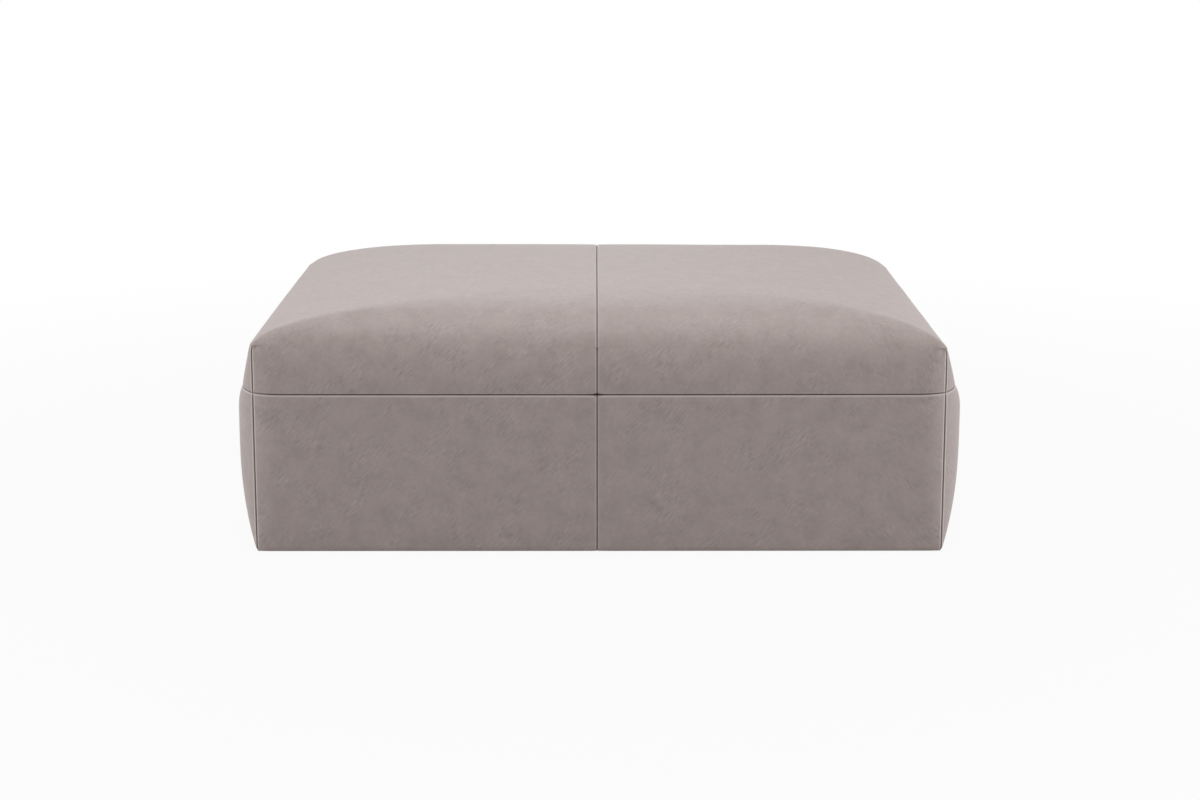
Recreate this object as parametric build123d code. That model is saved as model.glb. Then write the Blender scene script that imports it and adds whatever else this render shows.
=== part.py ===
from build123d import *
import os
from math import atan, sqrt, tan

# Upholstered footstool, millimetres, +Z up, front towards -Y, origin on the floor under its middle.

# Cover, measured between the corner seams and up from its lower edge
corner_width = 1108.0
corner_depth = 770.0
base_height = 260.0
tip_rise = 75.0
crown_rise = 136.0
leather = 1.4
hem_width = 30.0

# How far each wall stands out past the straight line between its corner seams
side_bulge = 36.0
side_bulge_height = 210.0
side_seam_bulge = 25.0
front_bulge = 15.0
foot_bulge = 2.0
side_corner_run = 78.0
front_corner_run = 50.0
side_rise_power = 3.7
front_rise_power = 2.0

# Roundness of the crown over the sides and over the front and back
side_plan_power = 3.42
side_crown_power = 3.6
front_plan_power = 7.0
front_crown_power = 2.8
shoulder_share = 0.985
shoulder_height_share = 0.45
crown_corner_share = 0.92

# Outlines that the forms are drawn through: up the walls, then inwards over the crown
base_steps = 9
base_step_power = 1.5
wall_steps = 3
crown_steps = 9
crown_cap_share = 0.35
wadding_chords = 2
foam_chords = 1

# Clearance of soft pieces, and the overrun of every cut
soft_gap = 0.3
overrun = 20.0

# Glides and the cloth underneath
glide_height = 3.5
glide_diameter = 24.0
glide_chamfer = 1.0
glide_inset = 36.0
dust_cloth = 0.5
dust_cloth_inset = 9.0

# Softwood frame with hardboard faces
frame_inset = 12.0
hardboard = 3.0
post_width = 45.0
rail_thickness = 22.0
top_rail_height = 70.0
bottom_rail_height = 50.0
stretcher_height = 60.0
stretcher_drop = 45.0
block_leg = 95.0
block_thickness = 22.0
block_drop = 20.0

# Elastic webbing, woven over and under
webbing_width = 70.0
webbing_thickness = 1.5
long_strips = 4
cross_strips = 7
strip_end_inset = 4.0
crossing_margin = 3.0

# Felt, foam and wadding
felt = 2.5
slab_height = 29.0
core_inset = 34.0
core_height = 72.0
wadding = 8.0

# Levels and reaches that follow from the sizes above
hem_bottom = glide_height + dust_cloth
seam_level = hem_bottom + base_height
frame_bottom = hem_bottom + leather
felt_top = seam_level - slab_height
webbing_top = felt_top - felt
frame_top = webbing_top - 2 * webbing_thickness
half_width = corner_width / 2
half_depth = corner_depth / 2
frame_x = half_width - frame_inset
frame_y = half_depth - frame_inset
wood_x = frame_x - hardboard
wood_y = frame_y - hardboard
inner_x = wood_x - rail_thickness
inner_y = wood_y - rail_thickness
long_strip_pitch = 2 * wood_y / (long_strips + 1)
cross_strip_pitch = 2 * wood_x / (cross_strips + 1)
under_leather = leather + soft_gap
under_wadding = under_leather + wadding
foam_inset = under_wadding + soft_gap
signs = {"left": -1, "right": 1, "front": -1, "back": 1}

pieces = {}


# Arc that turns the outline from a corner to the wall's straight middle, or a few chords of it
def corner_edges(start, end, turn, chords):
    square = (end - start).normalized().cross(Vector(0, 0, 1))
    sagitta = (end - start).length / 2 * tan(turn / 4)
    arc = Edge.make_three_point_arc(start, (start + end) / 2 + square * sagitta, end)
    if not chords:
        return [arc]
    stops = [arc @ (step / chords) for step in range(chords + 1)]
    return [Edge.make_line(a, b) for a, b in zip(stops, stops[1:])]


# One wall of the outline, drawn in at both corners, its arcs tangent to the straight middle
def wall_edges(start, along, outward, half_run, bulge, corner_run, chords):
    turn = 2 * atan(bulge / corner_run)
    first_stop = start + along * corner_run + outward * bulge
    second_stop = first_stop + along * (half_run - corner_run) * 2
    end = start + along * half_run * 2
    return [*corner_edges(start, first_stop, turn, chords),
            Edge.make_line(first_stop, second_stop),
            *corner_edges(second_stop, end, turn, chords)]


# Closed outline at one height, through four corners and out to the reach of each wall
def outline(corner_x, corner_y, reach_x, reach_y, height, chords):
    east, north = Vector(1, 0, 0), Vector(0, 1, 0)
    across = (corner_x, reach_y - corner_y, front_corner_run, chords)
    deep = (corner_y, reach_x - corner_x, side_corner_run, chords)
    edges = wall_edges(Vector(-corner_x, -corner_y, height), east, -north, *across)
    edges += wall_edges(Vector(corner_x, -corner_y, height), north, east, *deep)
    edges += wall_edges(Vector(corner_x, corner_y, height), -east, north, *across)
    edges += wall_edges(Vector(-corner_x, corner_y, height), -north, -east, *deep)
    return Wire(edges)


# Bulge of the side and front walls at a height below the seam
def base_bulges(height):
    rise = height - hem_bottom
    if rise < side_bulge_height:
        filled = 1 - (1 - rise / side_bulge_height) ** side_rise_power
        side = foot_bulge + (side_bulge - foot_bulge) * filled
    else:
        past = (rise - side_bulge_height) / (base_height - side_bulge_height)
        side = side_bulge + (side_seam_bulge - side_bulge) * past**2
    front_filled = 1 - (1 - rise / base_height) ** front_rise_power
    return side, foot_bulge + (front_bulge - foot_bulge) * front_filled


# Reach of the side and front walls at a rise above the seam, for a form inset inside the cover
def crown_reach(rise, inset):
    height_share = rise / (crown_rise - inset)
    side_share = (1 - height_share**side_crown_power) ** (1 / side_plan_power)
    front_share = (1 - height_share**front_crown_power) ** (1 / front_plan_power)
    return ((half_width + side_seam_bulge - inset) * side_share,
            (half_depth + front_bulge - inset) * front_share)


# Solid inside the walls below the seam, less an inset all round
def base_form(inset, bottom, chords=0):
    corner_x, corner_y = half_width - inset, half_depth - inset
    sections = []
    for step in range(base_steps + 1):
        height = bottom + (seam_level - bottom) * (step / base_steps) ** base_step_power
        side, front = base_bulges(height)
        sections.append(outline(corner_x, corner_y, corner_x + side, corner_y + front, height, chords))
    return Solid.make_loft(sections, True)


# Solid of the crowned top above the seam, less an inset; its corners are upright up to their tips
def crown_form(inset, chords=0):
    corner_x, corner_y = half_width - inset, half_depth - inset
    tip = tip_rise - inset
    sections = []
    for step in range(wall_steps):
        rise = tip * step / wall_steps
        sections.append(outline(corner_x, corner_y, *crown_reach(rise, inset), seam_level + rise, chords))
    tip_reach_x, tip_reach_y = crown_reach(tip, inset)
    for step in range(crown_steps + 1):
        reach_share = 1 - (1 - crown_cap_share) * step / crown_steps
        out_share = tip_reach_x * reach_share / (half_width + side_seam_bulge - inset)
        rise = (crown_rise - inset) * (1 - out_share**side_plan_power) ** (1 / side_crown_power)
        reach_x, reach_y = crown_reach(rise, inset)
        share = (rise - tip) / (crown_rise - inset - tip)
        if share < shoulder_height_share:
            turned = share / shoulder_height_share
            share_x = corner_x / tip_reach_x * (1 - turned) + shoulder_share * turned
            share_y = corner_y / tip_reach_y * (1 - turned) + shoulder_share * turned
        else:
            opened = ((share - shoulder_height_share) / (1 - shoulder_height_share)) ** 2
            share_x = shoulder_share + (crown_corner_share - shoulder_share) * opened
            share_y = share_x
        sections.append(outline(reach_x * share_x, reach_y * share_y, reach_x, reach_y,
                                seam_level + rise, chords))
    return Solid.make_loft(sections, True)


# Box between two opposite corners
def block(low, high):
    size = [abs(b - a) for a, b in zip(low, high)]
    middle = [(a + b) / 2 for a, b in zip(low, high)]
    return Pos(*middle) * Box(*size)


# Upright wedge of the plan that belongs to one wall, mitred at the corner seams
def wall_wedge(wall, setback):
    mitre = setback * sqrt(2)
    far = half_width + side_bulge + overrun
    apex = half_width - half_depth
    if wall in ("front", "back"):
        half_far = far + apex - mitre
        points = ((0, mitre - apex), (-half_far, far), (half_far, far))
    else:
        half_far = far - apex - mitre
        points = ((apex + mitre, 0), (far, -half_far), (far, half_far))
    wedge = extrude(make_face(Polyline(*points, close=True)), seam_level + overrun)
    return wedge if signs[wall] > 0 else Rot(0, 0, 180) * wedge


# Half of the space on one side of the middle seam
def side_half(side):
    far_x = half_width + side_bulge + overrun
    far_y = half_depth + side_bulge + overrun
    return block((0, -far_y, 0), (signs[side] * far_x, far_y, seam_level + crown_rise + overrun))


# Leather cover, sewn from two top panels and six border panels with a hem turned under
def add_cover():
    top_shell = crown_form(0) - crown_form(leather)
    for side in ("left", "right"):
        pieces[f"top_cover_{side}"] = top_shell & side_half(side)
    hem_x, hem_y = half_width - hem_width, half_depth - hem_width
    opening = block((-hem_x, -hem_y, 0), (hem_x, hem_y, frame_bottom))
    border = base_form(0, hem_bottom) - base_form(leather, frame_bottom) - opening
    for wall in ("front", "back"):
        panel = border & wall_wedge(wall, 0)
        for side in ("left", "right"):
            pieces[f"border_{wall}_{side}"] = panel & side_half(side)
    for side in ("left", "right"):
        pieces[f"border_side_{side}"] = border & wall_wedge(side, 0)


# Foam pads that fill out the walls between the frame's faces and the leather
def add_border_pads():
    pad_form = base_form(under_leather, frame_bottom, wadding_chords)
    frame_space = block((-frame_x, -frame_y, 0), (frame_x, frame_y, seam_level + overrun))
    ring = pad_form - frame_space
    for wall in ("front", "back", "left", "right"):
        pieces[f"border_pad_{wall}"] = ring & wall_wedge(wall, soft_gap / 2)


# Seat: felt over the webbing, a firm slab, a core and a crowned soft layer under a wadding shell
def add_seat():
    pieces["insulator_felt"] = block((-wood_x, -wood_y, webbing_top), (wood_x, wood_y, felt_top))
    pieces["seat_foam_slab"] = block((-frame_x, -frame_y, felt_top), (frame_x, frame_y, seam_level))
    core_x, core_y = frame_x - core_inset, frame_y - core_inset
    core = block((-core_x, -core_y, seam_level), (core_x, core_y, seam_level + core_height))
    pieces["seat_foam_core"] = core
    pieces["seat_foam_top"] = crown_form(foam_inset, foam_chords) - core
    wadding_form = crown_form(under_leather, wadding_chords)
    pieces["top_wadding"] = wadding_form - crown_form(under_wadding, foam_chords)


# One webbing strip seen from its edge: it climbs over every second strip that it crosses
def strip_profile(half_length, crossings, pitch, first_over):
    flat = webbing_width / 2 + crossing_margin
    low, high = frame_top, frame_top + webbing_thickness
    route = [(-half_length, low)]
    for number in range(crossings):
        middle = (number - (crossings - 1) / 2) * pitch
        over = (number + first_over) % 2
        if over:
            route += [(middle - pitch / 2 - flat + webbing_width / 2, low)]
            route += [(middle - flat, high), (middle + flat, high)]
            route += [(middle + pitch / 2 + flat - webbing_width / 2, low)]
    route += [(half_length, low)]
    return route


def add_webbing():
    for number in range(long_strips):
        middle = (number - (long_strips - 1) / 2) * long_strip_pitch
        route = strip_profile(wood_x - strip_end_inset, cross_strips, cross_strip_pitch, number)
        upper = [(x, z + webbing_thickness) for x, z in reversed(route)]
        face = make_face(Polyline(*[(x, z) for x, z in route + upper], close=True))
        strip = extrude(Plane.XZ * face, webbing_width / 2, both=True)
        pieces[f"webbing_long_{number + 1}"] = Pos(0, middle, 0) * strip
    for number in range(cross_strips):
        middle = (number - (cross_strips - 1) / 2) * cross_strip_pitch
        route = strip_profile(wood_y - strip_end_inset, long_strips, long_strip_pitch, number + 1)
        upper = [(y, z + webbing_thickness) for y, z in reversed(route)]
        face = make_face(Polyline(*[(y, z) for y, z in route + upper], close=True))
        strip = extrude(Plane.YZ * face, webbing_width / 2, both=True)
        pieces[f"webbing_cross_{number + 1}"] = Pos(middle, 0, 0) * strip


# Triangular blocks in the frame's corners, notched round the posts
def add_corner_blocks():
    notch = post_width - rail_thickness
    low = frame_top - block_drop - block_thickness
    points = ((notch, 0), (block_leg, 0), (0, block_leg), (0, notch), (notch, notch))
    shape = extrude(make_face(Polyline(*points, close=True)), block_thickness)
    turns = {("left", "front"): 0, ("right", "front"): 90, ("right", "back"): 180,
             ("left", "back"): 270}
    for (side, wall), turn in turns.items():
        corner = Pos(signs[side] * inner_x, signs[wall] * inner_y, low) * Rot(0, 0, turn)
        pieces[f"corner_block_{wall}_{side}"] = corner * shape


# Softwood rails, posts and stretchers, faced with hardboard
def add_frame():
    post_x, post_y = wood_x - post_width, wood_y - post_width
    top_low, bottom_high = frame_top - top_rail_height, frame_bottom + bottom_rail_height
    levels = (("top", top_low, frame_top), ("bottom", frame_bottom, bottom_high))
    for wall in ("front", "back"):
        out = signs[wall]
        for level, low, high in levels:
            pieces[f"{level}_rail_{wall}"] = block((-post_x, out * inner_y, low),
                                                   (post_x, out * wood_y, high))
        pieces[f"middle_post_{wall}"] = block((-post_width / 2, out * inner_y, bottom_high),
                                              (post_width / 2, out * wood_y, top_low))
        pieces[f"hardboard_{wall}"] = block((-frame_x, out * wood_y, frame_bottom),
                                            (frame_x, out * frame_y, frame_top))
    for side in ("left", "right"):
        out = signs[side]
        for level, low, high in levels:
            pieces[f"{level}_rail_{side}"] = block((out * inner_x, -post_y, low),
                                                   (out * wood_x, post_y, high))
        pieces[f"hardboard_{side}"] = block((out * wood_x, -wood_y, frame_bottom),
                                            (out * frame_x, wood_y, frame_top))
        for wall in ("front", "back"):
            away = signs[wall]
            pieces[f"post_{wall}_{side}"] = block((out * post_x, away * post_y, frame_bottom),
                                                  (out * wood_x, away * wood_y, frame_top))
    half = rail_thickness / 2
    stretcher_high = frame_top - stretcher_drop
    pieces["top_stretcher"] = block((-half, -inner_y, stretcher_high - stretcher_height),
                                    (half, inner_y, stretcher_high))
    pieces["bottom_stretcher"] = block((-half, -inner_y, frame_bottom), (half, inner_y, bottom_high))


# Glides under the corner posts, and the dust cloth that they hold
def add_underside():
    disc = Pos(0, 0, glide_height / 2) * Cylinder(glide_diameter / 2, glide_height)
    glide = chamfer(disc.edges().filter_by(GeomType.CIRCLE).sort_by(Axis.Z)[0], glide_chamfer)
    cloth_x, cloth_y = half_width - dust_cloth_inset, half_depth - dust_cloth_inset
    pieces["dust_cover"] = block((-cloth_x, -cloth_y, glide_height), (cloth_x, cloth_y, hem_bottom))
    for side in ("left", "right"):
        for wall in ("front", "back"):
            place = Pos(signs[side] * (half_width - glide_inset),
                        signs[wall] * (half_depth - glide_inset), 0)
            pieces[f"glide_{wall}_{side}"] = place * glide


add_cover()
add_border_pads()
add_seat()
add_webbing()
add_frame()
add_corner_blocks()
add_underside()

os.makedirs("parts", exist_ok=True)
for name, piece in pieces.items():
    export_step(piece, f"parts/{name}.step")
    print(name, len(piece.solids()), "solids", round(piece.volume / 1000), "cm3")
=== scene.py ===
from math import copysign, cos, exp, hypot, log, pi, radians, sin, sqrt

import bpy
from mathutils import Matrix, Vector, noise


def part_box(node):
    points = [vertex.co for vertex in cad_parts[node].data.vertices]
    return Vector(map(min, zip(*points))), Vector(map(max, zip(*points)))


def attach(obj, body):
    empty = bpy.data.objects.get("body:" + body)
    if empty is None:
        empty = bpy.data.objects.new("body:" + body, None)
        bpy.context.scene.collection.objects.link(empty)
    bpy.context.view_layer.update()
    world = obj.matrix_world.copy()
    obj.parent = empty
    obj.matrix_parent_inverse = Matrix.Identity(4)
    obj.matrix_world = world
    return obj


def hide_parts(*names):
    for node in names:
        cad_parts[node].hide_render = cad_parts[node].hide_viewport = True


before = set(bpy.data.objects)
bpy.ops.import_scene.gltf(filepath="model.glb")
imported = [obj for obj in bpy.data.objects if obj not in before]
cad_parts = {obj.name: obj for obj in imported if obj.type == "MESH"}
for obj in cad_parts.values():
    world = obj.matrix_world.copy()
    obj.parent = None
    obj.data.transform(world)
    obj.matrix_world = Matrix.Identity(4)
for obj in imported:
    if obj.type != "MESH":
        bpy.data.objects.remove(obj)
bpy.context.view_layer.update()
mm = 0.001
far = 1.0  # metres, more than any reach of a seam


# Small helpers

def linearColour(hexText):
    channels = []
    for start in (0, 2, 4):
        value = int(hexText[start:start + 2], 16) / 255
        channels.append(value / 12.92 if value <= 0.04045 else ((value + 0.055) / 1.055) ** 2.4)
    return (*channels, 1)


def addNode(tree, kind, settings=None, links=None):
    node = tree.nodes.new("ShaderNode" + kind)
    for name, value in (settings or {}).items():
        if isinstance(name, int) or name in node.inputs:
            node.inputs[name].default_value = value
        else:
            setattr(node, name, value)
    for name, source in (links or {}).items():
        tree.links.new(source, node.inputs[name])
    return node


def newMaterial(name):
    material = bpy.data.materials.new(name)
    material.use_nodes = True
    tree = material.node_tree
    tree.nodes.clear()
    output = addNode(tree, "OutputMaterial")
    return material, tree, output


def newPiece(name, points, faces, material, slot=None, replaced=()):
    mesh = bpy.data.meshes.new(name)
    mesh.from_pydata([tuple(point) for point in points], [], faces)
    mesh.polygons.foreach_set("use_smooth", [True] * len(mesh.polygons))
    mesh.materials.append(material)
    mesh.update()
    piece = bpy.data.objects.new(name, mesh)
    bpy.context.scene.collection.objects.link(piece)
    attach(piece, "root")
    if replaced:
        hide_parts(*replaced)
    return piece


def smoothStep(value):
    value = min(max(value, 0), 1)
    return value * value * (3 - 2 * value)


def wave(x, y, z):
    return noise.noise(Vector((x, y, z)))


# Materials

noiseLow, noiseHigh = 0.3, 0.7  # noise seldom leaves this span

leather = {
    "light": "B7A9A5",           # where the nap catches the light
    "base": "B2A4A0",
    "dark": "AC9E99",            # where the dye lies thicker
    "seam": "463B39",            # painted shade in the groove of a seam
    "lipHighlight": "DDD1CC",            # painted highlight on the lip beside a seam, where the rolled leather catches the light
    "lipBelow": 1.0,             # share of that painted highlight below the level seam, where the lip faces up
    "lipAbove": 0.25,            # above it
    "lipMiddle": 0.45,           # beside the middle seam
    "lipCorner": 1.0,            # beside a corner seam
    "cloudSize": 36 * mm,
    "cloudSpread": 0.16,         # of the noise about its middle, from dark to light
    "fleckSize": 7 * mm,
    "fleckShare": 0.06,
    "strokeAngle": radians(48),
    "strokeWidth": 2.0 * mm,     # marks of the brush, drawn about twice as coarse so that they show
    "strokeLength": 16 * mm,
    "strokeContrast": 0.8,
    "strokeHeight": 0.17 * mm,
    "turnedFrom": 0.36,          # metres, to the right of this the brush went the other way
    "turnedTo": 0.46,
    "turnedNoise": 3.7,          # metres along the noise, for marks of their own there
    "patchSize": 48 * mm,        # the marks are clear in patches and faint between them
    "patchFrom": 0.44,
    "patchTo": 0.62,
    "patchLeast": 0.12,
    "poreSize": 1.8 * mm,        # real pores are about 0.3 mm, drawn coarser so that they show
    "poreHeight": 0.08 * mm,
    "roughness": 0.48,
    "roughnessSpread": 0.05,
}


def makeLeather():
    # buffed aniline cowhide: chalky soft clouds of colour, faint brush marks, almost no gloss
    material, tree, output = newMaterial("buffedAnilineLeatherTaupe")
    place = addNode(tree, "TexCoord").outputs["Object"]
    hide = addNode(tree, "Attribute", {"attribute_name": "hidePlace"}).outputs["Vector"]
    clouds = addNode(tree, "TexNoise", {"Scale": 1 / leather["cloudSize"], "Detail": 4.0,
                     "Roughness": 0.6}, {"Vector": place})
    flecks = addNode(tree, "TexNoise", {"Scale": 1 / leather["fleckSize"], "Detail": 4.0,
                     "Roughness": 0.65}, {"Vector": place})
    cloudRamp = addNode(tree, "ValToRGB", links={"Fac": clouds.outputs["Fac"]})
    stops = cloudRamp.color_ramp.elements
    stops[0].position, stops[0].color = 0.5 - leather["cloudSpread"], linearColour(leather["dark"])
    stops[1].position, stops[1].color = 0.5 + leather["cloudSpread"], linearColour(leather["light"])
    stops.new(0.5).color = linearColour(leather["base"])
    fleckTone = addNode(tree, "MapRange", {"From Min": noiseLow, "From Max": noiseHigh,
                        "To Min": 1 - leather["fleckShare"], "To Max": 1 + leather["fleckShare"]},
                        {"Value": flecks.outputs["Fac"]})

    strokes = []
    for sign, offset in ((1, 0.0), (-1, leather["turnedNoise"])):
        turned = addNode(tree, "Mapping",
                         {"vector_type": "TEXTURE", "Rotation": (0, 0, sign * leather["strokeAngle"]),
                          "Scale": (leather["strokeLength"], leather["strokeWidth"], 1),
                          "Location": (offset, 0, 0)}, {"Vector": hide})
        strokes.append(addNode(tree, "TexNoise", {"Scale": 1.0, "Detail": 2.0, "Roughness": 0.5},
                               {"Vector": turned.outputs["Vector"]}).outputs["Fac"])
    across = addNode(tree, "SeparateXYZ", links={"Vector": place}).outputs["X"]
    turn = addNode(tree, "MapRange", {"From Min": leather["turnedFrom"], "From Max": leather["turnedTo"]},
                   {"Value": across})
    stroke = addNode(tree, "Mix", {"data_type": "FLOAT"},
                     {0: turn.outputs["Result"], 2: strokes[0], 3: strokes[1]})
    patches = addNode(tree, "TexNoise", {"Scale": 1 / leather["patchSize"], "Detail": 2.0},
                      {"Vector": hide})
    patch = addNode(tree, "MapRange", {"From Min": leather["patchFrom"], "From Max": leather["patchTo"],
                    "To Min": leather["patchLeast"]}, {"Value": patches.outputs["Fac"]})
    centred = addNode(tree, "Math", {"operation": "SUBTRACT", 1: 0.5}, {0: stroke.outputs[0]})
    laid = addNode(tree, "Math", {"operation": "MULTIPLY"},
                   {0: centred.outputs[0], 1: patch.outputs["Result"]})
    strokeTone = addNode(tree, "Math", {"operation": "MULTIPLY_ADD", 1: leather["strokeContrast"],
                         2: 1.0}, {0: laid.outputs[0]})

    tone = addNode(tree, "Math", {"operation": "MULTIPLY"},
                   {0: fleckTone.outputs["Result"], 1: strokeTone.outputs[0]})
    toned = addNode(tree, "Mix", {"data_type": "RGBA", "blend_type": "MULTIPLY", 0: 1.0},
                    {6: cloudRamp.outputs["Color"], 7: tone.outputs[0]})
    # painted shade in the seam grooves
    seam = addNode(tree, "Attribute", {"attribute_name": "seamShade"})
    shaded = addNode(tree, "Mix", {"data_type": "RGBA", 7: linearColour(leather["seam"])},
                     {0: seam.outputs["Fac"], 6: toned.outputs[2]})

    pores = addNode(tree, "TexVoronoi", {"Scale": 1 / leather["poreSize"]}, {"Vector": hide})
    strokeBump = addNode(tree, "Bump", {"Strength": 1.0, "Distance": leather["strokeHeight"]},
                         {"Height": laid.outputs[0]})
    poreBump = addNode(tree, "Bump", {"Strength": 1.0, "Distance": leather["poreHeight"]},
                       {"Height": pores.outputs["Distance"], "Normal": strokeBump.outputs["Normal"]})
    gloss = addNode(tree, "MapRange", {"From Min": noiseLow, "From Max": noiseHigh,
                    "To Min": leather["roughness"] - leather["roughnessSpread"],
                    "To Max": leather["roughness"] + leather["roughnessSpread"]},
                    {"Value": clouds.outputs["Fac"]})
    # painted highlight on the lips beside the seams
    lip = addNode(tree, "Attribute", {"attribute_name": "seamLipHighlight"})
    highlighted = addNode(tree, "Mix", {"data_type": "RGBA", 7: linearColour(leather["lipHighlight"])},
                     {0: lip.outputs["Fac"], 6: shaded.outputs[2]})
    shader = addNode(tree, "BsdfPrincipled",
                     {"IOR": 1.47, "Sheen Weight": 0.12, "Sheen Roughness": 0.5},
                     {"Base Color": highlighted.outputs[2], "Roughness": gloss.outputs["Result"],
                      "Normal": poreBump.outputs["Normal"]})
    tree.links.new(shader.outputs["BSDF"], output.inputs["Surface"])
    return material


toneSpread = 0.15  # of the noise about its middle, from the dark tone to the light one


def makeGrained(name, light, dark, size, stretch, height, roughness, ior=1.5, metallic=0.0):
    # two tones in noise of one size, drawn out where its stretch is below 1
    material, tree, output = newMaterial(name)
    place = addNode(tree, "TexCoord").outputs["Object"]
    mapped = addNode(tree, "Mapping", {"Scale": [share / size for share in stretch]},
                     {"Vector": place})
    grain = addNode(tree, "TexNoise", {"Scale": 1.0, "Detail": 5.0, "Roughness": 0.6},
                    {"Vector": mapped.outputs["Vector"]})
    ramp = addNode(tree, "ValToRGB", links={"Fac": grain.outputs["Fac"]})
    stops = ramp.color_ramp.elements
    stops[0].position, stops[0].color = 0.5 - toneSpread, linearColour(dark)
    stops[1].position, stops[1].color = 0.5 + toneSpread, linearColour(light)
    bump = addNode(tree, "Bump", {"Strength": 1.0, "Distance": height},
                   {"Height": grain.outputs["Fac"]})
    shader = addNode(tree, "BsdfPrincipled", {"Roughness": roughness, "Metallic": metallic},
                     {"Base Color": ramp.outputs["Color"], "Normal": bump.outputs["Normal"]})
    if not metallic:
        shader.inputs["IOR"].default_value = ior
    tree.links.new(shader.outputs["BSDF"], output.inputs["Surface"])
    return material


leatherSkin = makeLeather()


# Form of the cover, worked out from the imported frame; each wall has its own figures

form = {
    "dustClothInset": 9 * mm,     # from the corner seams to the cloth's edge
    "middleSeam": -3.5 * mm,      # the middle seam runs a little left of the middle
    "footBulge": 2 * mm,          # every wall past its corner seams, at the lower edge
    "footDrop": 2 * mm,           # the lower edge hangs this much below its solid
    "footDropReach": 60 * mm,
    "footRound": 3 * mm,          # taken off the wall at the lower edge
    "footRoundReach": 6 * mm,
    "hemRise": 8 * mm,            # width over which the hem comes up to the frame
    "left": {
        "tipRise": 77.5 * mm,     # corner tip above the level seam
        "seamBulge": 23.8 * mm,   # at the level seam
        "fullBulge": 33 * mm,     # at the wall's fullest height
        "shoulderBow": 4.8 * mm,  # edge of the seat between its tips
        "dropPower": 1.0,         # 1 is a straight drop from the edge to the seam, more a fuller one
        "crownPower": 4.1,        # of the slope up to the crown, more is a fuller one
        "bow": 5.7 * mm,          # of the whole wall, at the middle of its length
        "cornerRun": 2.75,        # run of the corner curve for each unit of bulge
    },
    "right": {
        "tipRise": 71.5 * mm, "seamBulge": 22.8 * mm, "fullBulge": 34.5 * mm, "shoulderBow": 1.7 * mm,
        "dropPower": 1.0, "crownPower": 3.1, "bow": 5.7 * mm, "cornerRun": 2.75,
    },
    "front": {
        "seamBulge": 13.5 * mm, "fullBulge": 13.5 * mm, "shoulderBow": 2.7 * mm, "dropPower": 2.9,
        "crownPower": 2.8, "bow": 2 * mm, "cornerRun": 3.0,
    },
    "crownProud": 5 * mm,         # leather above its solid at the top of the crown
    "fullHeight": 217 * mm,       # of the side walls' fullest place
    "sideRisePower": 3.4,         # 1 is a straight wall up to its fullest place, more a fuller one
    "frontRisePower": 2.0,
    "leastCornerRun": 24 * mm,
    "slopeShare": 0.75,           # leather that a slope takes up past its width, for its height
    "ridgeAtTip": 28,             # how crisply side slope and end slope meet, at a tip and away from it
    "ridgeAway": 5.8,
    "ridgeReach": 60 * mm,
    "edgeRound": 1.2 * mm,        # taken off the edge of the seat over each side wall
    "edgeReach": 11 * mm,
    "edgeFromTip": 30 * mm,
    "tipEar": 1.6 * mm,           # the corner seam's end stands up
    "tipEarReach": 4 * mm,
    "tipDent": 3.2 * mm,          # the leather beside it falls in, this far along and down from the tip
    "tipDentAlong": 7 * mm,
    "tipDentDown": 4.5 * mm,
    "tipDentReach": 5 * mm,
    "tipDraw": 2.2 * mm,          # the tip is drawn in as far as the corner seam below it
    "tipDrawReach": 5 * mm,
    "tipFold": 0.9 * mm,          # small folds that fan out from the tips
    "tipFoldStart": 14 * mm,
    "tipFoldReach": 42 * mm,
    "tipFolds": 5,
}
form["back"] = dict(form["front"])  # out of sight, taken as the front's mirror

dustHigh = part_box("dust_cover")[1]
halfWidth = dustHigh.x + form["dustClothInset"]
halfDepth = dustHigh.y + form["dustClothInset"]
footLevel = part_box("border_side_left")[0].z
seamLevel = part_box("top_cover_left")[0].z
baseRise = seamLevel - footLevel
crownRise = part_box("top_cover_left")[1].z - seamLevel + form["crownProud"]

walls = {
    "front": {"corner": (-1, -1), "along": Vector((1, 0, 0)), "out": Vector((0, -1, 0))},
    "right": {"corner": (1, -1), "along": Vector((0, 1, 0)), "out": Vector((1, 0, 0))},
    "back": {"corner": (1, 1), "along": Vector((-1, 0, 0)), "out": Vector((0, 1, 0))},
    "left": {"corner": (-1, 1), "along": Vector((0, -1, 0)), "out": Vector((-1, 0, 0))},
}
for wallName, wall in walls.items():
    wall.update(form[wallName])
    wall["start"] = Vector((wall["corner"][0] * halfWidth, wall["corner"][1] * halfDepth, 0))
    wall["deep"] = wallName in ("left", "right")
    wall["half"] = halfWidth if wall["deep"] else halfDepth
    wall["length"] = 2 * (halfDepth if wall["deep"] else halfWidth)
    wall["reach"] = wall["half"] + wall["seamBulge"]


def tipRiseAt(x):
    share = (x / halfWidth + 1) / 2
    return form["left"]["tipRise"] * (1 - share) + form["right"]["tipRise"] * share


def planPower(wall, tip):
    # the profile passes the edge of the seat at the height of the tip
    edge = (wall["half"] + wall["shoulderBow"]) / wall["reach"]
    return log(1 - (tip / crownRise) ** wall["crownPower"]) / log(edge)


def crownBulge(wall, share):
    # bulge of the seat's drop, that share of the way from the level seam to the seat's edge
    past = wall["seamBulge"] - wall["shoulderBow"]
    return wall["shoulderBow"] + past * (1 - share ** wall["dropPower"])


def baseBulge(wall, rise):
    foot = form["footBulge"]
    if not wall["deep"]:
        filled = 1 - (1 - rise / baseRise) ** form["frontRisePower"]
        return foot + (wall["fullBulge"] - foot) * filled
    if rise < form["fullHeight"]:
        filled = 1 - (1 - rise / form["fullHeight"]) ** form["sideRisePower"]
        return foot + (wall["fullBulge"] - foot) * filled
    past = (rise - form["fullHeight"]) / (baseRise - form["fullHeight"])
    return wall["fullBulge"] + (wall["seamBulge"] - wall["fullBulge"]) * past**2


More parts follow.
